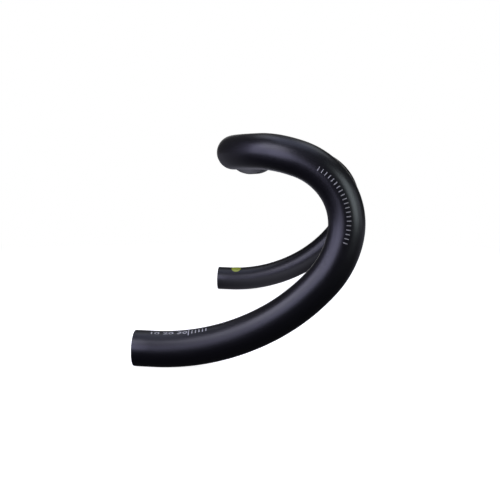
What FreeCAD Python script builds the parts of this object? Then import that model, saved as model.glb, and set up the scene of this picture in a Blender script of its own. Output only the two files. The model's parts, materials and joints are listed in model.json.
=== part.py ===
import FreeCAD, Part
import math
import os

import Sketcher
from FreeCAD import Placement, Rotation, Vector

# A bonded carbon drop handlebar, in millimetres.
# Origin: the middle of the stem clamp zone. +X runs to the rider's right along the bar,
# +Y points forwards (the way the bicycle travels) and +Z points up.
# The bar is the same on both sides, so the right side is built and then mirrored.

# Driving dimensions: alias, value, meaning.
SIZES = [
    ("bar_width", 420.0, "between the centre lines of the two drops"),
    ("tube_diameter", 23.8, "outside diameter of tops and drops"),
    ("tube_wall", 2.0, "laminate thickness everywhere"),
    ("rim_round", 0.8, "rounding of the outer rim of a drop end"),
    ("clamp_diameter", 31.8, "outside diameter over the grip band"),
    ("clamp_length", 72.0, "length of the cylindrical clamp zone"),
    ("taper_length", 46.0, "from the clamp zone down to the tops"),
    ("band_length", 58.0, "length of the rough grip band"),
    ("band_thickness", 0.15, "thickness of the rough grip band"),
    ("sleeve_length", 44.0, "length of a joint sleeve"),
    ("sleeve_wall", 1.6, "wall of a joint sleeve"),
    ("sleeve_chamfer", 0.6, "lead-in chamfer at both ends of a sleeve"),
    ("sleeve_setback", 5.0, "straight bore left between sleeve and corner"),
    ("bond_gap", 0.1, "glue line under the grip band and round a sleeve"),
    ("corner_radius", 76.5, "sweep of the tops into the corner"),
    ("corner_turn_angle", 46.0, "how far that sweep turns forwards, degrees"),
    ("shoulder_radius", 44.0, "bend from the corner into the ramp"),
    ("shoulder_turn_angle", 81.5, "how far forwards the tube points after the shoulder, degrees"),
    ("shoulder_dip_angle", 19.0, "slope after the shoulder, degrees below forwards"),
    ("ramp_radius", 45.5, "bend of the ramp, where the lever sits"),
    ("ramp_dip_angle", 51.5, "slope after the ramp, degrees"),
    ("front_radius", 42.5, "bend at the front of the hook"),
    ("front_dip_angle", 101.0, "slope after the front bend, degrees"),
    ("lower_radius", 60.0, "bend at the lower front of the hook"),
    ("lower_dip_angle", 131.5, "slope after the lower bend, degrees"),
    ("palm_radius", 129.0, "bend under the palm"),
    ("palm_dip_angle", 151.0, "slope after the palm bend, degrees"),
    ("heel_radius", 147.0, "last bend, which levels the drop out"),
    ("heel_dip_angle", 182.0, "slope after the last bend, degrees"),
    ("tail_length", 13.0, "straight end of the drop"),
    ("groove_radius", 3.5, "radius of the cable groove"),
    ("groove_depth", 1.2, "depth of the cable groove"),
    ("groove_slant_angle", 30.0, "groove below the rear of the bar, degrees"),
    ("groove_start", 6.0, "from the end of the taper to the groove"),
    ("print_gap", 0.05, "between a printed mark or sticker and the surface under it"),
    ("print_thickness", 0.1, "thickness of printed marks and stickers"),
    ("lever_mark_count", 20, "marks on a lever scale"),
    ("lever_mark_step_angle", 4.2, "angle between lever marks, degrees"),
    ("lever_mark_length", 2.8, "length of a lever mark"),
    ("lever_mark_width", 0.55, "width of a lever mark"),
    ("lever_scale_radius", 38.6, "radius of the row of lever marks"),
    ("lever_scale_dip_angle", 70.1, "slope of the tube at the middle of the row, degrees"),
    ("lever_scale_lift", 1.8, "from the centre line out to the middle of the row"),
    ("cut_line_setback", 38.3, "from the drop end to the cut line"),
    ("cut_line_length", 6.0, "length of the cut line across the tube"),
    ("cut_mark_count", 5, "short marks beyond the cut line"),
    ("cut_mark_step", 2.5, "between the short marks"),
    ("cut_mark_length", 3.5, "length of a short mark across the tube"),
    ("cut_mark_width", 0.55, "width of the cut line and the short marks"),
    ("cut_scale_lean_angle", 24.0, "cut scale outboard of the top of the tube, degrees"),
    ("dot_diameter", 10.0, "diameter of the round sticker"),
    ("dot_setback", 20.0, "from the drop end to the middle of the sticker"),
    ("dot_lean_angle", 22.0, "sticker inboard of the top of the tube, degrees"),
    ("clamp_mark_count", 5, "marks beside one end of the grip band"),
    ("clamp_mark_step_angle", 5.0, "angle between clamp marks, degrees"),
    ("clamp_mark_length", 4.0, "length of a clamp mark along the bar"),
    ("clamp_mark_width", 0.5, "width of a clamp mark"),
    ("clamp_mark_gap", 1.0, "between the grip band and the clamp marks"),
]

X_AXIS = Vector(1, 0, 0)
UP = Vector(0, 0, 1)
FORWARDS = math.degrees(math.pi / 2)
MATCH = 1e-4

doc = FreeCAD.newDocument("drop_handlebar")
sheet = doc.addObject("Spreadsheet::Sheet", "Sizes")
for row, (alias, value, meaning) in enumerate(SIZES, start=1):
    sheet.set("A%d" % row, meaning)
    sheet.set("B%d" % row, str(value))
    sheet.setAlias("B%d" % row, alias)
doc.recompute()


def size(alias):
    return float(sheet.get(alias))


def count(alias):
    return int(sheet.get(alias))


def add(kind, name, **expressions):
    """New object whose named properties follow expressions on the sheet."""
    obj = doc.addObject(kind, name)
    for prop, expression in expressions.items():
        obj.setExpression(prop, expression)
    return obj


def cut(name, base, tool):
    result = add("Part::Cut", name)
    result.Base = base
    result.Tool = tool
    doc.recompute()
    return result


def along_x(x):
    """Placement that lays an object's own Z axis along the bar, starting at x."""
    return Placement(Vector(x, 0, 0), Rotation(UP, X_AXIS))


def add_sketch(body, name, role):
    """Sketch on one of a body's own origin planes."""
    plane = [p for p in body.Origin.OriginFeatures if p.Role == role][0]
    sketch = body.newObject("Sketcher::SketchObject", name)
    sketch.AttachmentSupport = [(plane, "")]
    sketch.MapMode = "FlatFace"
    return sketch


def round_edges(shape, radius):
    """Names of the circular edges of one radius."""
    return [
        "Edge%d" % number
        for number, edge in enumerate(shape.Edges, start=1)
        if isinstance(edge.Curve, Part.Circle) and abs(edge.Curve.Radius - radius) < MATCH
    ]


# ---- centre line of the right half ----

def direction(turn, dip):
    """Heading of the tube after it has turned forwards and dipped, in degrees."""
    turn = math.radians(turn)
    dip = math.radians(dip)
    return Vector(math.cos(turn), math.sin(turn) * math.cos(dip), -math.sin(turn) * math.sin(dip))


# Each bend has a name and turns the tube to a new heading: turn and dip.
BENDS = [
    ("corner", size("corner_turn_angle"), 0.0),
    ("shoulder", size("shoulder_turn_angle"), size("shoulder_dip_angle")),
    ("ramp", FORWARDS, size("ramp_dip_angle")),
    ("front", FORWARDS, size("front_dip_angle")),
    ("lower", FORWARDS, size("lower_dip_angle")),
    ("palm", FORWARDS, size("palm_dip_angle")),
    ("heel", FORWARDS, size("heel_dip_angle")),
]


def bend_arc(start, heading, new_heading, radius):
    """Tangent arc that turns from one heading to another."""
    turn = heading.getAngle(new_heading)
    inward = new_heading - heading * heading.dot(new_heading)
    inward.normalize()
    middle, end = [
        start + heading * (radius * math.sin(angle)) + inward * (radius * (1 - math.cos(angle)))
        for angle in (turn / 2, turn)
    ]
    return Part.Arc(start, middle, end)


def bend_arcs(start):
    """The bends one after another, by name, from a point on the tops."""
    arcs = {}
    heading = X_AXIS
    for name, turn, dip in BENDS:
        new_heading = direction(turn, dip)
        arcs[name] = bend_arc(start, heading, new_heading, size(name + "_radius"))
        start = arcs[name].EndPoint
        heading = new_heading
    return arcs


# The straight tops take up the width that the bends leave.
corner_start = size("bar_width") / 2 - bend_arcs(Vector())["heel"].EndPoint.x
joint_x = corner_start - size("sleeve_setback") - size("sleeve_length") / 2
arcs = bend_arcs(Vector(corner_start, 0, 0))
heel_end = arcs["heel"].EndPoint
drop_end = heel_end + direction(FORWARDS, size("heel_dip_angle")) * size("tail_length")


def make_spine():
    """Centre line of a drop section, from the joint in the tops to the drop end."""
    stub = Part.LineSegment(Vector(joint_x, 0, 0), Vector(corner_start, 0, 0))
    tail = Part.LineSegment(heel_end, drop_end)
    spine = add("Part::Feature", "Spine")
    spine.Shape = Part.Wire([curve.toShape() for curve in (stub, *arcs.values(), tail)])
    return spine


def on_spine(setback):
    """Point and heading of the centre line, a distance back from the drop end."""
    for edge in reversed(spine.Shape.Edges):
        if setback <= edge.Length:
            parameter = edge.getParameterByLength(edge.Length - setback)
            return edge.valueAt(parameter), edge.tangentAt(parameter)
        setback -= edge.Length
    raise ValueError("the setback is longer than the drop section")


def sweep(name, radius):
    """Solid round bar along the spine, of a radius that follows an expression."""
    ring = add("Part::Circle", name + "Ring", Radius=radius)
    ring.Placement = along_x(joint_x)
    bar = add("Part::Sweep", name)
    bar.Sections = [ring]
    bar.Spine = (spine, ["Edge%d" % (i + 1) for i in range(len(spine.Shape.Edges))])
    bar.Solid = True
    doc.recompute()
    return bar


# ---- cable groove ----

def groove_tool(side):
    """Straight round-nosed cutter on one side, which runs out where the corner begins."""
    offset = size("tube_diameter") / 2 + size("groove_radius") - size("groove_depth")
    slant = math.radians(size("groove_slant_angle"))
    inner_x = size("clamp_length") / 2 + size("taper_length") + size("groove_start")
    start = Vector(side * inner_x, -offset * math.cos(slant), -offset * math.sin(slant))
    rod = add("Part::Cylinder", "GrooveRod", Radius="Sizes.groove_radius")
    rod.Height = corner_start + size("corner_radius") / 2 - inner_x
    rod.Placement = Placement(start, Rotation(UP, X_AXIS * side))
    nose = add("Part::Sphere", "GrooveNose", Radius="Sizes.groove_radius")
    nose.Placement = rod.Placement
    return [rod, nose]


def make_groove_cutter():
    cutter = add("Part::MultiFuse", "GrooveCutter")
    cutter.Shapes = groove_tool(1) + groove_tool(-1)
    doc.recompute()
    return cutter


# ---- centre section ----

SEAT = "(Sizes.clamp_diameter / 2 - Sizes.band_thickness - Sizes.bond_gap)"
seat_radius = size("clamp_diameter") / 2 - size("band_thickness") - size("bond_gap")


def taper_arcs(side, high, low):
    """Two equal tangent arcs from the clamp zone down to the tops, outwards on one side."""
    clamp_end = side * size("clamp_length") / 2
    run = size("taper_length")
    fall = high - low
    radius = (run * run + fall * fall) / (4 * fall)
    angle = math.asin(run / 2 / radius) / 2
    dx = side * radius * math.sin(angle)
    dy = radius * (1 - math.cos(angle))
    top = Vector(clamp_end, high, 0)
    middle = Vector(clamp_end + side * run / 2, high - fall / 2, 0)
    foot = Vector(clamp_end + side * run, low, 0)
    upper = Part.Arc(top, top + Vector(dx, -dy, 0), middle)
    lower = Part.Arc(middle, foot + Vector(-dx, dy, 0), foot)
    return [upper, lower]


def wall_outline(high, low):
    """One surface of the wall, from the left joint to the right joint."""
    left = taper_arcs(-1, high, low)
    right = taper_arcs(1, high, low)
    return [
        Part.LineSegment(Vector(-joint_x, low, 0), left[1].EndPoint),
        *left,
        Part.LineSegment(left[0].StartPoint, right[0].StartPoint),
        *right,
        Part.LineSegment(right[1].EndPoint, Vector(joint_x, low, 0)),
    ]


def make_centre_section():
    """Hollow middle of the bar: clamp zone, two tapers and the straight tops."""
    wall = size("tube_wall")
    tube = size("tube_diameter") / 2
    body = add("PartDesign::Body", "CentreTube")
    sketch = add_sketch(body, "CentreProfile", "XY_Plane")
    sketch.addGeometry(wall_outline(seat_radius, tube))
    sketch.addGeometry(wall_outline(seat_radius - wall, tube - wall))
    for x in (-joint_x, joint_x):
        sketch.addGeometry(Part.LineSegment(Vector(x, tube, 0), Vector(x, tube - wall, 0)))
    turned = body.newObject("PartDesign::Revolution", "CentreTurned")
    turned.Profile = sketch
    turned.ReferenceAxis = (sketch, ["H_Axis"])
    turned.Angle = 360.0
    doc.recompute()
    return cut("CentreGrooved", body, groove_cutter)


# ---- drop sections ----

def make_drop_section():
    """Hollow drop: stub of the tops, corner, ramp, hook and open end with a rounded rim."""
    tube = cut("DropTube", outer_bar, sweep("Bore", "Sizes.tube_diameter / 2 - Sizes.tube_wall"))
    grooved = cut("DropGrooved", tube, groove_cutter)
    edges = round_edges(grooved.Shape, size("tube_diameter") / 2)
    rim = [name for name in edges if grooved.Shape.getElement(name).Curve.Center.isEqual(drop_end, MATCH)]
    rounded = add("Part::Fillet", "DropRounded")
    rounded.Base = grooved
    rounded.Edges = [(int(name[4:]), size("rim_round"), size("rim_round")) for name in rim]
    return rounded


# ---- joint sleeves and grip band ----

def make_ring(name, outer, inner, length, x):
    """Plain ring along the bar with its middle at x; its sizes are expressions."""
    body = add("PartDesign::Body", name)
    sketch = add_sketch(body, name + "Profile", "XY_Plane")
    for index, expression in enumerate((outer, inner)):
        first_radius = 10.0 - index
        sketch.addGeometry(Part.Circle(Vector(), UP, first_radius))
        sketch.addConstraint(Sketcher.Constraint("Coincident", index, 3, -1, 1))
        number = sketch.addConstraint(Sketcher.Constraint("Radius", index, first_radius))
        sketch.setExpression("Constraints[%d]" % number, expression)
    pad = body.newObject("PartDesign::Pad", name + "Pad")
    pad.Profile = sketch
    pad.Midplane = True
    pad.setExpression("Length", length)
    body.Placement = along_x(x)
    doc.recompute()
    return body


def make_joint_sleeve():
    """Ferrule glued inside both tubes where a drop meets the centre section."""
    outer = "Sizes.tube_diameter / 2 - Sizes.tube_wall - Sizes.bond_gap"
    body = make_ring("Sleeve", outer, outer + " - Sizes.sleeve_wall", "Sizes.sleeve_length", joint_x)
    pad = body.Tip
    chamfer = body.newObject("PartDesign::Chamfer", "SleeveChamfer")
    outer_radius = size("tube_diameter") / 2 - size("tube_wall") - size("bond_gap")
    chamfer.Base = (pad, round_edges(pad.Shape, outer_radius))
    chamfer.setExpression("Size", "Sizes.sleeve_chamfer")
    return body


def make_grip_band():
    """Rough friction band that the stem clamps on."""
    outer = "Sizes.clamp_diameter / 2"
    return make_ring("Band", outer, outer + " - Sizes.band_thickness", "Sizes.band_length", 0)


# ---- printed marks and sticker ----

def radial(angle):
    """Direction in the plane of the drop, in degrees up from forwards."""
    angle = math.radians(angle)
    return Vector(0, math.cos(angle), math.sin(angle))


def add_block(name, middle, long_side, outward, length, width):
    """Block through the surface at a point; its length and width follow two aliases."""
    depth = "Sizes.tube_diameter / 4"
    block = add("Part::Box", name, Length="Sizes." + length, Width="Sizes." + width, Height=depth)
    rotation = Rotation(long_side, outward.cross(long_side), outward, "XYZ")
    corner = Vector(size(length) / 2, size(width) / 2, size("tube_diameter") / 8)
    block.Placement = Placement(middle - rotation.multVec(corner), rotation)
    return block


def print_on(name, shapes, skin, base):
    """Printed layer where the shapes pass between base, its underside, and skin, its top."""
    group = add("Part::Compound", name + "Shapes")
    group.Links = shapes
    layer = add("Part::Common", name + "Layer")
    layer.Base = group
    layer.Tool = skin
    doc.recompute()
    return cut(name, layer, base)


def make_lever_scale():
    """Row of marks on the outer side of the hook, for setting both levers alike."""
    middle_angle = FORWARDS - size("lever_scale_dip_angle")
    radius = size("lever_scale_radius")
    shift = size("front_radius") + size("lever_scale_lift") - radius
    bend_centre = arcs["front"].toShape().Curve.Center
    centre = bend_centre + radial(middle_angle) * shift + X_AXIS * (size("tube_diameter") / 2)
    last = count("lever_mark_count") - 1
    blocks = []
    for i in range(last + 1):
        outward = radial(middle_angle + size("lever_mark_step_angle") * (last / 2 - i))
        blocks.append(add_block("LeverMark", centre + outward * radius, outward, X_AXIS,
                                "lever_mark_length", "lever_mark_width"))
    return print_on("LeverScale", blocks, print_skin, print_base)


def on_tube(setback, lean):
    """Point on the drop near its end, the way out of the surface there, and the heading."""
    place, heading = on_spine(setback)
    top = heading.cross(X_AXIS)
    outboard = top.cross(heading)
    lean = math.radians(lean)
    outward = top * math.cos(lean) + outboard * math.sin(lean)
    return place + outward * (size("tube_diameter") / 2), outward, heading


def make_cut_scale():
    """Cut line and short marks across the top of a drop end, for trimming it."""
    marks = [(size("cut_line_setback"), "cut_line_length")]
    for i in range(count("cut_mark_count")):
        marks.append((size("cut_line_setback") + size("cut_mark_step") * (i + 1), "cut_mark_length"))
    blocks = []
    for setback, length in marks:
        place, outward, heading = on_tube(setback, size("cut_scale_lean_angle"))
        blocks.append(add_block("CutMark", place, outward.cross(heading), outward, length, "cut_mark_width"))
    return print_on("CutScale", blocks, print_skin, print_base)


def make_dot():
    """Round sticker on the inboard side of the top of a drop end."""
    place, outward, heading = on_tube(size("dot_setback"), -size("dot_lean_angle"))
    depth = size("tube_diameter") / 4
    punch = add("Part::Cylinder", "DotPunch", Radius="Sizes.dot_diameter / 2")
    punch.Height = 2 * depth
    punch.Placement = Placement(place - outward * depth, Rotation(UP, outward))
    return print_on("Dot", [punch], print_skin, print_base)


def make_clamp_marks():
    """Marks on the front of the clamp zone, both sides of the grip band, for setting the bar's angle."""
    base = add("Part::Cylinder", "ClampBase", Radius=SEAT + " + Sizes.print_gap", Height="Sizes.clamp_length")
    top = SEAT + " + Sizes.print_gap + Sizes.print_thickness"
    skin = add("Part::Cylinder", "ClampSkin", Radius=top, Height="Sizes.clamp_length")
    base.Placement = skin.Placement = along_x(-size("clamp_length") / 2)
    x = size("band_length") / 2 + size("clamp_mark_gap") + size("clamp_mark_length") / 2
    last = count("clamp_mark_count") - 1
    blocks = []
    for side in (-1, 1):
        for i in range(last + 1):
            outward = radial(size("clamp_mark_step_angle") * (last / 2 - i))
            place = outward * seat_radius + X_AXIS * (side * x)
            blocks.append(add_block("ClampMark", place, X_AXIS, outward,
                                    "clamp_mark_length", "clamp_mark_width"))
    return print_on("ClampMarks", blocks, skin, base)


def mirror(name, source):
    """The same piece on the other side of the bar."""
    result = add("Part::Mirroring", name)
    result.Source = source
    result.Normal = X_AXIS
    return result


spine = make_spine()
outer_bar = sweep("OuterBar", "Sizes.tube_diameter / 2")
print_base = sweep("PrintBase", "Sizes.tube_diameter / 2 + Sizes.print_gap")
print_skin = sweep("PrintSkin", "Sizes.tube_diameter / 2 + Sizes.print_gap + Sizes.print_thickness")
groove_cutter = make_groove_cutter()

NODES = {
    "centre_section": make_centre_section(),
    "clamp_grip_band": make_grip_band(),
    "clamp_marks": make_clamp_marks(),
    "right_drop_section": make_drop_section(),
    "right_joint_sleeve": make_joint_sleeve(),
    "right_lever_scale": make_lever_scale(),
    "right_cut_scale": make_cut_scale(),
}
for node in ("drop_section", "joint_sleeve", "lever_scale"):
    NODES["left_" + node] = mirror("Left_" + node, NODES["right_" + node])
NODES["left_drop_dot"] = mirror("LeftDot", make_dot())
for label, obj in NODES.items():
    obj.Label = label
doc.recompute()

for obj in doc.Objects:
    if {"Invalid", "Error"} & set(obj.State):
        raise RuntimeError("%s failed: %s" % (obj.Label, obj.State))
os.makedirs("parts", exist_ok=True)
for label, obj in NODES.items():
    if obj.Shape.isNull() or not obj.Shape.isValid():
        raise RuntimeError("%s has no valid shape" % label)
for label, obj in NODES.items():
    obj.Shape.exportStep("parts/%s.step" % label)
    box = obj.Shape.BoundBox
    print("%-20s solids %2d volume %9.1f  x %.1f..%.1f y %.1f..%.1f z %.1f..%.1f" % (
        label, len(obj.Shape.Solids), obj.Shape.Volume,
        box.XMin, box.XMax, box.YMin, box.YMax, box.ZMin, box.ZMax))
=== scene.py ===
import json
import math

import bmesh
import bpy
from mathutils import Matrix, Vector, kdtree


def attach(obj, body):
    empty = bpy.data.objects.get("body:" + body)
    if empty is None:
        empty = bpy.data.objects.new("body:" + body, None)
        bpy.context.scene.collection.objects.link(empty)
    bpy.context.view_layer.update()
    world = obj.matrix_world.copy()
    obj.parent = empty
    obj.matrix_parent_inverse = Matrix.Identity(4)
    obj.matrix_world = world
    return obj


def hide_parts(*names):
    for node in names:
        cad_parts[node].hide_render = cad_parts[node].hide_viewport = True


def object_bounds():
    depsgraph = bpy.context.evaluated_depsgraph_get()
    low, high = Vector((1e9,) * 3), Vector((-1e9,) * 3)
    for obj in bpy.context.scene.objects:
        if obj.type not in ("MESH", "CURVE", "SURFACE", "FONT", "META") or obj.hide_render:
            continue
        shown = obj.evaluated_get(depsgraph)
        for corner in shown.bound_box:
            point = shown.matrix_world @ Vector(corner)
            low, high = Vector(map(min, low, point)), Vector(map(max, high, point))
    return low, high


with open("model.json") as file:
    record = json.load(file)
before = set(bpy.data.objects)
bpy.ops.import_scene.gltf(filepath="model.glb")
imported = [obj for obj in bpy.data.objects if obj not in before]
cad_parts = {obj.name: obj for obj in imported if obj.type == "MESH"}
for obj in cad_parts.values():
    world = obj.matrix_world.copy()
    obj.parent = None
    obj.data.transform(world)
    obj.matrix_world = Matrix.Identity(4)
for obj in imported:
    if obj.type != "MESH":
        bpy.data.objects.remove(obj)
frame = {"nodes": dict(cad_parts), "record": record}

# A bonded carbon drop handlebar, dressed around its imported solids. Lengths are in metres.
# +X runs to the rider's right along the bar, +Y forwards and +Z up.

MM = 0.001
X_AXIS = Vector((1, 0, 0))
Y_AXIS = Vector((0, 1, 0))
Z_AXIS = Vector((0, 0, 1))
cad_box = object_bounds()

# Tube.
TUBE_RADIUS = 11.9 * MM
WALL = 2.0 * MM
RIM_ROUND = 0.8 * MM
RIM_SEGMENTS = 5
SEAM_ROUND = 0.15 * MM
SEAM_SEGMENTS = 2
DROP_CENTRE_X = 210.0 * MM
STUB_LENGTH = 27.0 * MM
TAIL_LENGTH = 13.0 * MM

# Bends of the right drop from the tops on: radius, then where the tube points after the bend, as its
# turn forwards and its dip, both in degrees.
BENDS = [
    (76.5 * MM, 46.0, 0.0),      # corner
    (44.0 * MM, 81.5, 19.0),     # shoulder
    (45.5 * MM, 90.0, 51.5),     # ramp
    (42.5 * MM, 90.0, 101.0),    # front
    (60.0 * MM, 90.0, 131.5),    # lower
    (129.0 * MM, 90.0, 151.0),   # palm
    (147.0 * MM, 90.0, 182.0),   # heel
]

# Middle of the bar.
CLAMP_RADIUS = 15.65 * MM
CLAMP_LENGTH = 72.0 * MM
TAPER_LENGTH = 46.0 * MM
TAPER_RINGS = 24

# Cable groove, and the cutter with a round nose that makes it. The slant is below level, in degrees.
GROOVE_RADIUS = 3.5 * MM
GROOVE_DEPTH = 1.2 * MM
GROOVE_SLANT = 30.0
GROOVE_START = 6.0 * MM
CUTTER_FACES = 48
NOSE_RINGS = 8
NOSE_TIP = 0.02

# Printed numerals. The lean is outwards from the top of the tube, in degrees.
PRINT_GAP = 0.05 * MM
PRINT_THICKNESS = 0.1 * MM
NUMERAL_SIZE = 7.4 * MM
NUMERAL_LENGTH = 22.2 * MM
NUMERAL_SETBACK = 22.2 * MM
NUMERAL_LEAN = 22.0
NUMERAL_CURVE_STEPS = 3
NUMERAL_CUTS = 3

# How finely the skins are divided.
RING_FACES = 96
RING_STEP = 2.0 * MM

# How near a vertex lies to a place that picks it, how squarely a face looks along an axis that picks it,
# and how far apart merged points are at most.
ON_PLANE = 0.01 * MM
ON_CIRCLE = 0.05 * MM
SQUARELY = 0.9
SAME_POINT = 0.001 * MM

QUARTER_TURN = math.radians(90)
SMOOTH_BELOW = math.radians(35)

# Camera. Yaw, pitch and roll are in degrees from a level look along -X.
CAMERA_PLACE = (0.84446, 0.08163, -0.01106)
CAMERA_YAW = -5.732
CAMERA_PITCH = -4.693
CAMERA_ROLL = -0.105
CAMERA_LENS = 71.606
CAMERA_CLIP = 0.05

# What the bar reflects of the world and the floor, where 1 is white. Each pair gives the places where a
# change starts and ends: the heading's X for the world, metres on the floor.
WORLD_BACK = 1.0
WORLD_FRONT = 0.05
WORLD_CHANGE = (-0.92, -0.98)
FLOOR_BACK = 0.15
FLOOR_FRONT = 0.03
FLOOR_CHANGE = (0.2, 0.0)
FLOOR_SIDE = 0.10
FLOOR_SIDE_CHANGE = (0.1, 0.4)
FLOOR_MIDDLE = 0.75
FLOOR_MIDDLE_CHANGE = (0.13, 0.05)
FLOOR_MIDDLE_PLACE = (-0.1, 0, 0)
FLOOR_TINT = (0.95, 0.95, 1.15, 1)

# What the camera sees of the floor: white that turns to shadowed paint near the bar.
WHITE = (1, 1, 1, 1)
FLOOR_WIDTH = 12
FLOOR_PAINT = (0.8, 0.8, 0.8, 1)
FLOOR_GLOW = 0.9
SHADOW_CHANGE = (0.9, 0.3)

# Lamps, all turned to one point: name, azimuth, elevation, distance, width, height, radiance and colour.
LIT_POINT = Vector((0.1, 0.02, -0.04))
SOFTBOXES = [
    ("main_low", -36, 8, 0.8, 0.60, 0.42, 3.0, (0.95, 0.93, 1.38)),
    ("main_high", -43, 37, 0.8, 0.54, 0.33, 3.8, (0.97, 0.96, 1.22)),
    ("main_left", -70, 16, 0.8, 0.26, 0.60, 2.5, (0.95, 0.93, 1.38)),
    ("main_turn", -4, 42, 0.8, 0.30, 0.22, 0.2, (0.90, 0.88, 1.50)),
    ("far_left", -92, 15, 1.3, 0.45, 0.90, 0.2, (0.85, 0.80, 1.40)),
    ("side", 60, 16, 1.3, 0.72, 0.90, 3.0, (0.92, 1.04, 1.10)),
    ("side_back", 92, 12, 1.3, 0.45, 0.70, 0.9, (0.92, 0.97, 1.13)),
    ("top", 0, 88, 1.3, 1.0, 1.0, 0.9, (0.90, 0.96, 1.38)),
    ("top_left", -140, 62, 1.3, 0.5, 0.5, 0.85, (0.94, 0.98, 1.12)),
    ("top_right", 130, 62, 1.3, 0.7, 0.5, 1.1, (0.93, 1.0, 1.09)),
    ("rear_high", 180, 50, 1.3, 1.0, 0.5, 0.2, (1.0, 1.0, 1.0)),
]

# Colours of the finishes, as pairs between which each one varies.
LACQUER = (0.0022, 0.0020, 0.0030), (0.0036, 0.0033, 0.0048)
BARE_PLIES = (0.018, 0.018, 0.019), (0.055, 0.054, 0.052)
BORE = (0.012, 0.012, 0.012), (0.030, 0.029, 0.027)
SCUFFED = (0.02, 0.02, 0.021), (0.05, 0.05, 0.05)
GRIT = (0.05, 0.05, 0.052), (0.022, 0.022, 0.023)
GRIT_DUST = (0.06, 0.06, 0.062)
GREY_INK = (0.30, 0.295, 0.28), (0.46, 0.45, 0.43)
PALE_INK = (0.34, 0.34, 0.33), (0.52, 0.52, 0.51)
GREEN_VINYL = (0.26, 0.31, 0.015), (0.33, 0.37, 0.025)

# Roughness of the finishes, also as pairs. The lacquer has one pair between its streaks and one on them.
LACQUER_ROUGHNESS = (0.31, 0.36)
STREAK_ROUGHNESS = (0.33, 0.39)
BORE_ROUGHNESS = 0.55
PLIES_ROUGHNESS = 0.7
SCUFFED_ROUGHNESS = (0.5, 0.7)
GRIT_ROUGHNESS = (0.75, 0.95)
INK_ROUGHNESS = (0.6, 0.45)
VINYL_ROUGHNESS = (0.35, 0.45)
VINYL_COAT = 0.4
VINYL_COAT_ROUGHNESS = 0.15

# Fine relief of the finishes: strength and height.
PEEL_RELIEF = (0.5, 0.015 * MM)
SCUFF_RELIEF = (0.4, 0.02 * MM)
GRIT_RELIEF = (0.7, 0.12 * MM)
INK_RELIEF = (0.3, 0.01 * MM)
VINYL_RELIEF = (0.2, 0.01 * MM)

# Grain of the finishes, in waves to the metre, and the part of the noise that is spread out to 0 to 1.
NOISE_RANGE = (0.3, 0.7)
STREAKS_ALONG = 45
STREAKS_ACROSS = 900
PLY_WANDER_GRAIN = 350.0
HAZE_GRAIN = 38.0
PEEL_GRAIN = 900.0
SCUFF_GRAIN = 900.0
GRIT_GRAIN = 1800.0
DUST_GRAIN = 120.0
INK_GRAIN = 1500.0
VINYL_GRAIN = 260.0

# Plies on the cut ends, and how far from the end the cut shows.
PLY_STEP = 0.25 * MM
PLY_WANDER = 0.2 * MM
CUT_CHANGE = (0.3 * MM, 0.1 * MM)


# ---- centre line ----

def heading_of(turn, dip):
    """Unit vector turned forwards from +X and dipped below level, both in degrees."""
    turn = math.radians(turn)
    dip = math.radians(dip)
    forwards = math.sin(turn)
    return Vector((math.cos(turn), forwards * math.cos(dip), -forwards * math.sin(dip)))


def bends_from(start):
    """Each bend as centre, axis, angle and radius, and then the point and heading they end at."""
    heading = X_AXIS
    bends = []
    for radius, turn, dip in BENDS:
        new_heading = heading_of(turn, dip)
        angle = heading.angle(new_heading)
        inward = (new_heading - heading * heading.dot(new_heading)).normalized()
        centre = start + inward * radius
        axis = heading.cross(inward)
        bends.append((centre, axis, angle, radius))
        start = centre + Matrix.Rotation(angle, 3, axis) @ (start - centre)
        heading = new_heading
    return bends, start, heading


CORNER_X = DROP_CENTRE_X - bends_from(Vector())[1].x
JOINT_X = CORNER_X - STUB_LENGTH
ARCS, HEEL_END, TAIL_HEADING = bends_from(Vector((CORNER_X, 0, 0)))
DROP_END = HEEL_END + TAIL_HEADING * TAIL_LENGTH
BAR_END = CORNER_X + sum(radius * angle for _, _, angle, radius in ARCS) + TAIL_LENGTH


# ---- modelling helpers ----

def deselect_all():
    if bpy.context.object and bpy.context.object.mode != "OBJECT":
        bpy.ops.object.mode_set(mode="OBJECT")
    bpy.ops.object.select_all(action="DESELECT")


def start_ring(name, x, radius):
    """Open ring round the bar at x, in edit mode and selected, ready to be drawn out into a tube."""
    deselect_all()
    bpy.ops.mesh.primitive_circle_add(vertices=RING_FACES, radius=radius, location=(x, 0, 0),
                                      rotation=(0, QUARTER_TURN, 0))
    bpy.ops.object.transform_apply(location=True, rotation=True, scale=True)
    piece = bpy.context.object
    piece.name = piece.data.name = name
    bpy.ops.object.mode_set(mode="EDIT")
    bpy.ops.mesh.select_mode(type="VERT")
    bpy.ops.mesh.select_all(action="SELECT")
    return piece


def draw_out(offset):
    """Extrudes what is selected and moves it on."""
    bpy.ops.mesh.extrude_region_move(TRANSFORM_OT_translate={"value": offset})


def modify(piece, kind, **settings):
    """Adds a modifier and applies it."""
    modifier = piece.modifiers.new(kind.title(), kind)
    for name, value in settings.items():
        setattr(modifier, name, value)
    bpy.context.view_layer.objects.active = piece
    bpy.ops.object.modifier_apply(modifier=modifier.name)


def thicken(piece):
    """Gives a tube skin its wall, inwards."""
    bpy.ops.mesh.select_all(action="SELECT")
    bpy.ops.mesh.normals_make_consistent(inside=False)
    bpy.ops.object.mode_set(mode="OBJECT")
    modify(piece, "SOLIDIFY", thickness=WALL, offset=-1.0, use_even_offset=True, use_rim=True)


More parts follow.
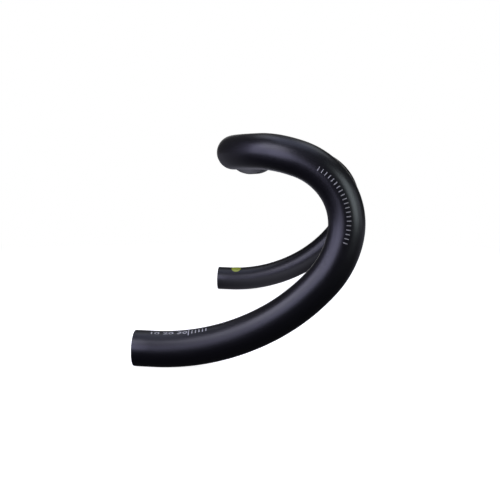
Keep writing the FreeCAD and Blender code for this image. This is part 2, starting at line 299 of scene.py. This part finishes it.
def round_rim(piece, centre, heading, radius, amount, segments):
    """Rounds the outer edge of a tube end, found by its place."""
    bpy.ops.object.mode_set(mode="EDIT")
    bpy.ops.mesh.select_mode(type="EDGE")
    bpy.ops.mesh.select_all(action="DESELECT")
    mesh = bmesh.from_edit_mesh(piece.data)
    for edge in mesh.edges:
        edge.select = all(
            abs((vert.co - centre).dot(heading)) < ON_PLANE
            and abs((vert.co - centre).length - radius) < ON_CIRCLE
            for vert in edge.verts)
    bmesh.update_edit_mesh(piece.data)
    bpy.ops.mesh.bevel(offset=amount, segments=segments, affect="EDGES")
    bpy.ops.object.mode_set(mode="OBJECT")


def add_groove_tool(side):
    """Straight round-nosed cutter along the lower rear of the tops on one side."""
    offset = TUBE_RADIUS + GROOVE_RADIUS - GROOVE_DEPTH
    slant = math.radians(GROOVE_SLANT)
    start = CLAMP_LENGTH / 2 + TAPER_LENGTH + GROOVE_START
    length = CORNER_X + BENDS[0][0] / 2 - start
    middle = Vector((side * (start + length / 2), -offset * math.cos(slant), -offset * math.sin(slant)))
    deselect_all()
    bpy.ops.mesh.primitive_cylinder_add(vertices=CUTTER_FACES, radius=GROOVE_RADIUS, depth=length,
                                        location=middle, rotation=(0, QUARTER_TURN, 0))
    bpy.ops.object.transform_apply(location=True, rotation=True, scale=True)
    tool = bpy.context.object
    bpy.ops.object.mode_set(mode="EDIT")
    bpy.ops.mesh.select_mode(type="FACE")
    bpy.ops.mesh.select_all(action="DESELECT")
    mesh = bmesh.from_edit_mesh(tool.data)
    for face in mesh.faces:
        face.select = face.normal.x * side < -SQUARELY
    bmesh.update_edit_mesh(tool.data)
    for i in range(NOSE_RINGS):
        near, far = (QUARTER_TURN * (i + step) / NOSE_RINGS for step in (0, 1))
        shrink = max(math.cos(far), NOSE_TIP) / max(math.cos(near), NOSE_TIP)
        advance = GROOVE_RADIUS * (math.sin(far) - math.sin(near))
        draw_out((-side * advance, 0, 0))
        bpy.ops.transform.resize(value=(shrink, shrink, shrink))
    bpy.ops.object.mode_set(mode="OBJECT")
    return tool


def cut_groove(piece, tool):
    modify(piece, "BOOLEAN", operation="DIFFERENCE", object=tool, solver="EXACT")


def shade(piece):
    deselect_all()
    piece.select_set(True)
    bpy.context.view_layer.objects.active = piece
    bpy.ops.object.shade_smooth_by_angle(angle=SMOOTH_BELOW)


def finish_piece(piece, *nodes, slot="carbon"):
    """Fixes a piece to the bar, in place of the given nodes, and gives it its finish."""
    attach(piece, "root")
    if nodes:
        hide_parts(*nodes)
    piece.data.materials.clear()
    piece.data.materials.append(FINISHES[slot])


# ---- straightened coordinates ----

def right_spine():
    """Samples of the right drop's centre line: point, distance from the middle, heading and up."""
    point, heading, up = Vector((JOINT_X, 0, 0)), X_AXIS, Z_AXIS
    run = JOINT_X
    samples = []

    def go_straight(length):
        nonlocal point, run
        for i in range(round(length / MM) + 1):
            samples.append((point + heading * (i * MM), run + i * MM, heading, up))
        point = point + heading * length
        run += length

    go_straight(STUB_LENGTH)
    for centre, axis, angle, radius in ARCS:
        arm = point - centre
        steps = round(angle * radius / MM)
        for i in range(1, steps + 1):
            turn = Matrix.Rotation(angle * i / steps, 3, axis)
            samples.append((centre + turn @ arm, run + angle * radius * i / steps,
                            turn @ heading, turn @ up))
        point, run, heading, up = samples[-1]
    go_straight(TAIL_LENGTH)
    return samples


def centre_spine():
    """Samples of the middle tube's straight centre line, in the same form."""
    reach = math.ceil(JOINT_X / MM)
    return [(X_AXIS * (i * MM), i * MM, X_AXIS, Z_AXIS) for i in range(-reach, reach + 1)]


def add_straight_coords(piece, samples):
    """Point attribute with the place each vertex would have if the bar were drawn out straight."""
    tree = kdtree.KDTree(len(samples))
    for i, sample in enumerate(samples):
        tree.insert(sample[0], i)
    tree.balance()
    places = []
    for vertex in piece.data.vertices:
        point, run, heading, up = samples[tree.find(vertex.co)[1]]
        away = vertex.co - point
        places += (run + away.dot(heading), away.dot(heading.cross(up)), away.dot(up))
    piece.data.attributes.new("straight", "FLOAT_VECTOR", "POINT").data.foreach_set("vector", places)


# ---- skins ----

def add_right_drop():
    """Right drop: stub of the tops, seven bends and the straight tail, with its wall, rim and seam."""
    piece = start_ring("right_drop", JOINT_X, TUBE_RADIUS)
    draw_out((STUB_LENGTH, 0, 0))
    for centre, axis, angle, radius in ARCS:
        steps = round(angle * radius / RING_STEP)
        bpy.ops.mesh.spin(steps=steps, angle=-angle, center=centre, axis=axis)
    draw_out(TAIL_HEADING * TAIL_LENGTH)
    thicken(piece)
    round_rim(piece, DROP_END, TAIL_HEADING, TUBE_RADIUS, RIM_ROUND, RIM_SEGMENTS)
    round_rim(piece, X_AXIS * JOINT_X, X_AXIS, TUBE_RADIUS, SEAM_ROUND, SEAM_SEGMENTS)
    return piece


def add_centre():
    """Middle of the bar: tops, clamp zone and S-shaped tapers of two equal arcs each, drawn out ring by
    ring, with its wall and rounded seams."""
    taper_start = CLAMP_LENGTH / 2
    fall = CLAMP_RADIUS - TUBE_RADIUS
    arc = (TAPER_LENGTH ** 2 + fall ** 2) / (4 * fall)
    stations = []
    for i in range(TAPER_RINGS + 1):
        run = TAPER_LENGTH * i / TAPER_RINGS
        short = min(run, TAPER_LENGTH - run)
        sag = arc - math.sqrt(arc ** 2 - short ** 2)
        radius = CLAMP_RADIUS - sag if run <= TAPER_LENGTH / 2 else TUBE_RADIUS + sag
        stations.append((taper_start + run, radius))
    outline = [(-x, radius) for x, radius in reversed(stations)] + stations + [(JOINT_X, TUBE_RADIUS)]
    piece = start_ring("centre", -JOINT_X, TUBE_RADIUS)
    here, size = -JOINT_X, TUBE_RADIUS
    for x, radius in outline:
        draw_out((x - here, 0, 0))
        bpy.ops.transform.resize(value=(1, radius / size, radius / size), center_override=(x, 0, 0))
        here, size = x, radius
    thicken(piece)
    for side in (-1, 1):
        round_rim(piece, X_AXIS * (side * JOINT_X), X_AXIS, TUBE_RADIUS, SEAM_ROUND, SEAM_SEGMENTS)
    return piece


def mirrored(piece, name):
    """The same piece on the other side of the bar, facing outwards again."""
    deselect_all()
    piece.select_set(True)
    bpy.context.view_layer.objects.active = piece
    bpy.ops.object.duplicate()
    copy = bpy.context.object
    copy.name = copy.data.name = name
    bpy.ops.transform.resize(value=(-1, 1, 1), center_override=(0, 0, 0))
    bpy.ops.object.transform_apply(location=True, rotation=True, scale=True)
    bpy.ops.object.mode_set(mode="EDIT")
    bpy.ops.mesh.select_all(action="SELECT")
    bpy.ops.mesh.flip_normals()
    bpy.ops.object.mode_set(mode="OBJECT")
    return copy


def build_skins():
    """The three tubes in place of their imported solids; returns the right drop."""
    right_tool = add_groove_tool(1)
    left_tool = add_groove_tool(-1)
    right = add_right_drop()
    cut_groove(right, right_tool)
    centre = add_centre()
    cut_groove(centre, right_tool)
    cut_groove(centre, left_tool)
    add_straight_coords(right, right_spine())
    add_straight_coords(centre, centre_spine())
    left = mirrored(right, "left_drop")
    for tool in (right_tool, left_tool):
        bpy.data.objects.remove(tool)
    for piece, node in ((right, "right_drop_section"), (left, "left_drop_section"),
                        (centre, "centre_section")):
        shade(piece)
        finish_piece(piece, node)
    return right


# ---- printed numerals ----

def add_numerals(surface):
    """Cutting lengths printed along the top of the right drop between its end and the cut line."""
    deselect_all()
    bpy.ops.object.text_add(location=(0, 0, 0))
    piece = bpy.context.object
    piece.name = "cut_numerals"
    piece.data.body = "10 20 30"
    piece.data.size = NUMERAL_SIZE
    piece.data.align_x = "CENTER"
    piece.data.align_y = "CENTER"
    piece.data.resolution_u = NUMERAL_CURVE_STEPS
    bpy.ops.object.convert(target="MESH")
    piece = bpy.context.object
    bpy.ops.object.mode_set(mode="EDIT")
    bpy.ops.mesh.select_mode(type="VERT")
    bpy.ops.mesh.select_all(action="SELECT")
    bpy.ops.mesh.remove_doubles(threshold=SAME_POINT)
    bpy.ops.mesh.quads_convert_to_tris()
    bpy.ops.mesh.subdivide(number_cuts=NUMERAL_CUTS)
    bpy.ops.object.mode_set(mode="OBJECT")
    length = piece.dimensions.x
    lean = math.radians(NUMERAL_LEAN)
    middle = DROP_END - TAIL_HEADING * NUMERAL_SETBACK
    along = -TAIL_HEADING
    up = along.cross(-X_AXIS).normalized()
    outward = up * math.cos(lean) + X_AXIS * math.sin(lean)
    turn = Matrix((along, outward.cross(along), outward)).transposed().to_4x4()
    stretch = Matrix.Diagonal((NUMERAL_LENGTH / length, 1, 1, 1))
    piece.data.transform(Matrix.Translation(middle + outward * 2 * TUBE_RADIUS) @ turn @ stretch)
    modify(piece, "SHRINKWRAP", target=surface, wrap_method="NEAREST_SURFACEPOINT",
           wrap_mode="ABOVE_SURFACE", offset=PRINT_GAP)
    modify(piece, "SOLIDIFY", thickness=PRINT_THICKNESS, offset=1.0)
    piece.data.name = piece.name
    shade(piece)
    finish_piece(piece, slot="print_pale")


# ---- node helpers ----

def feed(tree, socket, value):
    """Links the socket to another node's socket, or gives it a plain value."""
    if isinstance(value, bpy.types.NodeSocket):
        tree.links.new(value, socket)
    else:
        socket.default_value = value


def new_node(tree, kind, inputs=None, **settings):
    """Shader node with its settings and inputs; an input is a value or another node's socket."""
    node = tree.nodes.new(kind)
    for name, value in settings.items():
        setattr(node, name, value)
    for name, value in (inputs or {}).items():
        feed(tree, node.inputs[name], value)
    return node


def fade(tree, value, change, low, high):
    """Value that goes softly from low to high where the given one goes through the change."""
    start, end = change
    return new_node(tree, "ShaderNodeMapRange", {
        "Value": value, "From Min": start, "From Max": end, "To Min": low, "To Max": high},
        interpolation_type="SMOOTHSTEP").outputs[0]


def new_group(name, inputs, outputs):
    """Empty shader node group with named inputs and outputs, and its first and last nodes."""
    group = bpy.data.node_groups.new(name, "ShaderNodeTree")
    for in_out, sockets in (("INPUT", inputs), ("OUTPUT", outputs)):
        for label, kind in sockets.items():
            group.interface.new_socket(label, in_out=in_out, socket_type=kind)
    return group, group.nodes.new("NodeGroupInput"), group.nodes.new("NodeGroupOutput")


def use_group(tree, group, **inputs):
    return new_node(tree, "ShaderNodeGroup", inputs, node_tree=group)


# ---- stage: camera, world, floor and lamps ----

def add_camera():
    """Camera beside the right drop, about level with the tops and looking slightly down and back."""
    yaw = math.radians(CAMERA_YAW)
    pitch = math.radians(CAMERA_PITCH)
    roll = math.radians(CAMERA_ROLL)
    forwards, right, up = -X_AXIS, Y_AXIS, Z_AXIS
    forwards, right = (math.cos(yaw) * forwards + math.sin(yaw) * right,
                       math.cos(yaw) * right - math.sin(yaw) * forwards)
    forwards, up = (math.cos(pitch) * forwards + math.sin(pitch) * up,
                    math.cos(pitch) * up - math.sin(pitch) * forwards)
    right, up = (math.cos(roll) * right + math.sin(roll) * up,
                 math.cos(roll) * up - math.sin(roll) * right)
    data = bpy.data.cameras.new("Camera")
    data.lens = CAMERA_LENS
    data.clip_start = CAMERA_CLIP
    camera = bpy.data.objects.new("Camera", data)
    turn = Matrix((right, up, -forwards)).transposed().to_4x4()
    camera.matrix_world = Matrix.Translation(CAMERA_PLACE) @ turn
    bpy.context.scene.collection.objects.link(camera)
    bpy.context.scene.camera = camera


def add_world():
    """White to the camera. The bar reflects it bright at the far left and dim everywhere else."""
    world = bpy.data.worlds.new("Studio")
    bpy.context.scene.world = world
    world.use_nodes = True
    tree = world.node_tree
    tree.nodes.clear()
    path = new_node(tree, "ShaderNodeLightPath")
    coords = new_node(tree, "ShaderNodeTexCoord")
    split = new_node(tree, "ShaderNodeSeparateXYZ", {"Vector": coords.outputs["Generated"]})
    behind = fade(tree, split.outputs["X"], WORLD_CHANGE, WORLD_FRONT, WORLD_BACK)
    seen = new_node(tree, "ShaderNodeMath", {
        0: path.outputs["Is Camera Ray"], 1: path.outputs["Is Transmission Ray"]}, operation="MAXIMUM")
    dim = new_node(tree, "ShaderNodeBackground", {"Color": WHITE, "Strength": behind})
    white = new_node(tree, "ShaderNodeBackground", {"Color": WHITE, "Strength": 1.0})
    mix = new_node(tree, "ShaderNodeMixShader", {
        0: seen.outputs[0], 1: dim.outputs[0], 2: white.outputs[0]})
    new_node(tree, "ShaderNodeOutputWorld", {"Surface": mix.outputs[0]})


def add_floor():
    """Plain pale floor under the lowest point of the drops, which keeps a faint soft shadow of the bar.
    The bar reflects it dark on the right, brighter on the left and in front, and brightest in a round
    patch between the drops."""
    bpy.ops.mesh.primitive_plane_add(size=FLOOR_WIDTH, location=(0, 0, cad_box[0][2]))
    floor = bpy.context.object
    floor.name = "floor"
    material = bpy.data.materials.new("pale_floor")
    material.use_nodes = True
    tree = material.node_tree
    tree.nodes.clear()
    path = new_node(tree, "ShaderNodeLightPath")
    coords = new_node(tree, "ShaderNodeTexCoord")
    split = new_node(tree, "ShaderNodeSeparateXYZ", {"Vector": coords.outputs["Object"]})
    behind = fade(tree, split.outputs["X"], FLOOR_CHANGE, FLOOR_FRONT, FLOOR_BACK)
    beside = fade(tree, split.outputs["Y"], FLOOR_SIDE_CHANGE, 0.0, FLOOR_SIDE)
    from_middle = new_node(tree, "ShaderNodeVectorMath", {
        0: coords.outputs["Object"], 1: FLOOR_MIDDLE_PLACE}, operation="DISTANCE")
    middle = fade(tree, from_middle.outputs["Value"], FLOOR_MIDDLE_CHANGE, 0.0, FLOOR_MIDDLE)
    dim = new_node(tree, "ShaderNodeMath", {0: behind, 1: beside}, operation="ADD")
    reflected = new_node(tree, "ShaderNodeMath", {0: dim.outputs[0], 1: middle}, operation="ADD")
    distance = new_node(tree, "ShaderNodeVectorMath", {0: coords.outputs["Object"]}, operation="LENGTH")
    shadowed = fade(tree, distance.outputs["Value"], SHADOW_CHANGE, 0.0, 1.0)
    paint = new_node(tree, "ShaderNodeBsdfDiffuse", {"Color": FLOOR_PAINT})
    white = new_node(tree, "ShaderNodeEmission", {"Color": WHITE, "Strength": 1.0})
    glow = new_node(tree, "ShaderNodeEmission", {"Color": WHITE, "Strength": FLOOR_GLOW})
    lit = new_node(tree, "ShaderNodeAddShader", {0: paint.outputs[0], 1: glow.outputs[0]})
    seen = new_node(tree, "ShaderNodeMixShader", {
        0: shadowed, 1: white.outputs[0], 2: lit.outputs[0]})
    glint = new_node(tree, "ShaderNodeEmission", {
        "Color": FLOOR_TINT, "Strength": reflected.outputs[0]})
    mix = new_node(tree, "ShaderNodeMixShader", {
        0: path.outputs["Is Camera Ray"], 1: glint.outputs[0], 2: seen.outputs[0]})
    new_node(tree, "ShaderNodeOutputMaterial", {"Surface": mix.outputs[0]})
    floor.data.materials.append(material)


def add_softbox(name, azimuth, elevation, distance, width, height, radiance, colour):
    """Soft lamp turned to the lit point. Azimuth goes from +X towards +Y, and the width is level."""
    azimuth = math.radians(azimuth)
    elevation = math.radians(elevation)
    outward = Vector((math.cos(elevation) * math.cos(azimuth), math.cos(elevation) * math.sin(azimuth),
                      math.sin(elevation)))
    data = bpy.data.lights.new(name, "AREA")
    data.shape = "RECTANGLE"
    data.size = width
    data.size_y = height
    data.energy = radiance * width * height * math.pi
    data.color = colour
    lamp = bpy.data.objects.new(name, data)
    lamp.matrix_world = (Matrix.Translation(LIT_POINT + outward * distance)
                         @ outward.to_track_quat("Z", "Y").to_matrix().to_4x4())
    lamp.visible_camera = False
    bpy.context.scene.collection.objects.link(lamp)


def add_lamps():
    for lamp in SOFTBOXES:
        add_softbox(*lamp)


# ---- finishes ----

def spread_noise(tree, vector, scale, detail):
    """Noise spread out to fill 0 to 1."""
    low, high = NOISE_RANGE
    noise = new_node(tree, "ShaderNodeTexNoise", {"Vector": vector, "Scale": scale, "Detail": detail})
    return new_node(tree, "ShaderNodeMapRange", {
        "Value": noise.outputs[0], "From Min": low, "From Max": high}).outputs[0]


def grain_group():
    """Even grain between 0 and 1."""
    group, start, end = new_group(
        "grain", {"Vector": "NodeSocketVector", "Scale": "NodeSocketFloat"}, {"Value": "NodeSocketFloat"})
    grain = spread_noise(group, start.outputs["Vector"], start.outputs["Scale"], 3.0)
    feed(group, end.inputs["Value"], grain)
    return group


def streak_group():
    """Faint streaks along the straightened bar, where the laminate's fibres show through the lacquer."""
    group, start, end = new_group(
        "streaks", {"Vector": "NodeSocketVector"}, {"Value": "NodeSocketFloat"})
    stretch = new_node(group, "ShaderNodeMapping", {
        "Vector": start.outputs["Vector"], "Scale": (STREAKS_ALONG, STREAKS_ACROSS, STREAKS_ACROSS)})
    feed(group, end.inputs["Value"], spread_noise(group, stretch.outputs[0], 1.0, 4.0))
    return group


def laminate_group():
    """Masks on the straightened bar: inside the tube, on the cut end, and the rings of its plies."""
    group, start, end = new_group(
        "laminate", {"Vector": "NodeSocketVector"},
        {"Inside": "NodeSocketFloat", "Cut": "NodeSocketFloat", "Plies": "NodeSocketFloat"})
    split = new_node(group, "ShaderNodeSeparateXYZ", {"Vector": start.outputs["Vector"]})
    across = new_node(group, "ShaderNodeCombineXYZ", {"Y": split.outputs["Y"], "Z": split.outputs["Z"]})
    radius = new_node(group, "ShaderNodeVectorMath", {0: across.outputs[0]}, operation="LENGTH")
    inside = new_node(group, "ShaderNodeMapRange", {
        "Value": radius.outputs["Value"], "From Min": TUBE_RADIUS - WALL / 2,
        "From Max": TUBE_RADIUS - 3 * WALL / 4})
    cut = new_node(group, "ShaderNodeMapRange", {
        "Value": split.outputs["X"], "From Min": BAR_END - CUT_CHANGE[0],
        "From Max": BAR_END - CUT_CHANGE[1]})
    wander = new_node(group, "ShaderNodeTexNoise", {
        "Vector": start.outputs["Vector"], "Scale": PLY_WANDER_GRAIN})
    drift = new_node(group, "ShaderNodeMath", {
        0: wander.outputs[0], 1: PLY_WANDER, 2: radius.outputs["Value"]}, operation="MULTIPLY_ADD")
    phase = new_node(group, "ShaderNodeMath", {
        0: drift.outputs[0], 1: 2 * math.pi / PLY_STEP}, operation="MULTIPLY")
    wave = new_node(group, "ShaderNodeMath", {0: phase.outputs[0]}, operation="SINE")
    rings = new_node(group, "ShaderNodeMapRange", {
        "Value": wave.outputs[0], "From Min": -1.0, "From Max": 1.0})
    feed(group, end.inputs["Inside"], inside.outputs[0])
    feed(group, end.inputs["Cut"], cut.outputs[0])
    feed(group, end.inputs["Plies"], rings.outputs[0])
    return group


GRAIN = grain_group()
STREAKS = streak_group()
LAMINATE = laminate_group()


def new_material(name):
    """Material with a Principled shader alone, its node tree and the shader."""
    material = bpy.data.materials.new(name)
    material.use_nodes = True
    tree = material.node_tree
    tree.nodes.clear()
    output = tree.nodes.new("ShaderNodeOutputMaterial")
    shader = tree.nodes.new("ShaderNodeBsdfPrincipled")
    tree.links.new(shader.outputs[0], output.inputs["Surface"])
    return material, tree, shader


def mix_colours(tree, factor, low, high):
    """Blend of two colours, each a tuple or another blend's socket."""
    low, high = ((*colour, 1) if isinstance(colour, tuple) else colour for colour in (low, high))
    return new_node(tree, "ShaderNodeMix", {0: factor, 6: low, 7: high}, data_type="RGBA").outputs[2]


def mix_values(tree, factor, low, high):
    """Blend of two values, each a number or another node's socket."""
    return new_node(tree, "ShaderNodeMix", {0: factor, 2: low, 3: high}, data_type="FLOAT").outputs[0]


def add_relief(tree, shader, height, strength, distance):
    """Fine relief that isn't worth faces."""
    bump = new_node(tree, "ShaderNodeBump", {
        "Height": height, "Strength": strength, "Distance": distance})
    feed(tree, shader.inputs["Normal"], bump.outputs[0])


def satin_carbon():
    """Black laminate under satin lacquer, with a rougher bore and the plies bare on the cut ends."""
    material, tree, shader = new_material("satin_black_carbon")
    coords = new_node(tree, "ShaderNodeTexCoord").outputs["Object"]
    straight = new_node(tree, "ShaderNodeAttribute", attribute_name="straight").outputs["Vector"]
    haze = use_group(tree, GRAIN, Vector=coords, Scale=HAZE_GRAIN).outputs["Value"]
    peel = use_group(tree, GRAIN, Vector=coords, Scale=PEEL_GRAIN).outputs["Value"]
    streaks = use_group(tree, STREAKS, Vector=straight).outputs["Value"]
    laminate = use_group(tree, LAMINATE, Vector=straight)
    inside, cut, plies = (laminate.outputs[label] for label in ("Inside", "Cut", "Plies"))
    lacquer = mix_colours(tree, streaks, *LACQUER)
    edge = mix_colours(tree, plies, *BARE_PLIES)
    bore = mix_colours(tree, streaks, *BORE)
    colour = mix_colours(tree, cut, mix_colours(tree, inside, lacquer, bore), edge)
    feed(tree, shader.inputs["Base Color"], colour)
    between = mix_values(tree, haze, *LACQUER_ROUGHNESS)
    along = mix_values(tree, haze, *STREAK_ROUGHNESS)
    rough = mix_values(tree, inside, mix_values(tree, streaks, between, along), BORE_ROUGHNESS)
    feed(tree, shader.inputs["Roughness"], mix_values(tree, cut, rough, PLIES_ROUGHNESS))
    add_relief(tree, shader, peel, *PEEL_RELIEF)
    return material


def bare_sleeve():
    """Abraded laminate, as a bonded joint leaves it."""
    material, tree, shader = new_material("bare_sleeve")
    coords = new_node(tree, "ShaderNodeTexCoord").outputs["Object"]
    scuffs = use_group(tree, GRAIN, Vector=coords, Scale=SCUFF_GRAIN).outputs["Value"]
    feed(tree, shader.inputs["Base Color"], mix_colours(tree, scuffs, *SCUFFED))
    feed(tree, shader.inputs["Roughness"], mix_values(tree, scuffs, *SCUFFED_ROUGHNESS))
    add_relief(tree, shader, scuffs, *SCUFF_RELIEF)
    return material


def grip_coat():
    """Gritty friction coat of the clamp zone."""
    material, tree, shader = new_material("grip_coat")
    coords = new_node(tree, "ShaderNodeTexCoord").outputs["Object"]
    cells = new_node(tree, "ShaderNodeTexVoronoi", {"Vector": coords, "Scale": GRIT_GRAIN})
    grit = cells.outputs["Distance"]
    dust = use_group(tree, GRAIN, Vector=coords, Scale=DUST_GRAIN).outputs["Value"]
    clean = mix_colours(tree, grit, *GRIT)
    feed(tree, shader.inputs["Base Color"], mix_colours(tree, dust, clean, GRIT_DUST))
    feed(tree, shader.inputs["Roughness"], mix_values(tree, grit, *GRIT_ROUGHNESS))
    add_relief(tree, shader, grit, *GRIT_RELIEF)
    return material


def ink(name, thin, full):
    """Screen-printed ink, a little thinner in places."""
    material, tree, shader = new_material(name)
    coords = new_node(tree, "ShaderNodeTexCoord").outputs["Object"]
    cover = use_group(tree, GRAIN, Vector=coords, Scale=INK_GRAIN).outputs["Value"]
    feed(tree, shader.inputs["Base Color"], mix_colours(tree, cover, thin, full))
    feed(tree, shader.inputs["Roughness"], mix_values(tree, cover, *INK_ROUGHNESS))
    add_relief(tree, shader, cover, *INK_RELIEF)
    return material


def round_sticker():
    """Glossy yellow-green vinyl with slightly uneven colour."""
    material, tree, shader = new_material("green_sticker")
    coords = new_node(tree, "ShaderNodeTexCoord").outputs["Object"]
    cloud = use_group(tree, GRAIN, Vector=coords, Scale=VINYL_GRAIN).outputs["Value"]
    feed(tree, shader.inputs["Base Color"], mix_colours(tree, cloud, *GREEN_VINYL))
    feed(tree, shader.inputs["Roughness"], mix_values(tree, cloud, *VINYL_ROUGHNESS))
    feed(tree, shader.inputs["Coat Weight"], VINYL_COAT)
    feed(tree, shader.inputs["Coat Roughness"], VINYL_COAT_ROUGHNESS)
    add_relief(tree, shader, cloud, *VINYL_RELIEF)
    return material


FINISHES = {
    "carbon": satin_carbon(),
    "sleeve": bare_sleeve(),
    "grip_coat": grip_coat(),
    "print_grey": ink("grey_ink", *GREY_INK),
    "print_pale": ink("pale_ink", *PALE_INK),
    "sticker": round_sticker(),
}


def dress_nodes():
    """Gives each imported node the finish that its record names."""
    for part in frame["record"]["subparts"]:
        node = frame["nodes"][part["node"]]
        node.data.materials.clear()
        node.data.materials.append(FINISHES[part["material_slot"]])


deselect_all()
add_numerals(build_skins())
bpy.context.scene.view_settings.view_transform = "Standard"
add_camera()
add_world()
add_floor()
add_lamps()
dress_nodes()
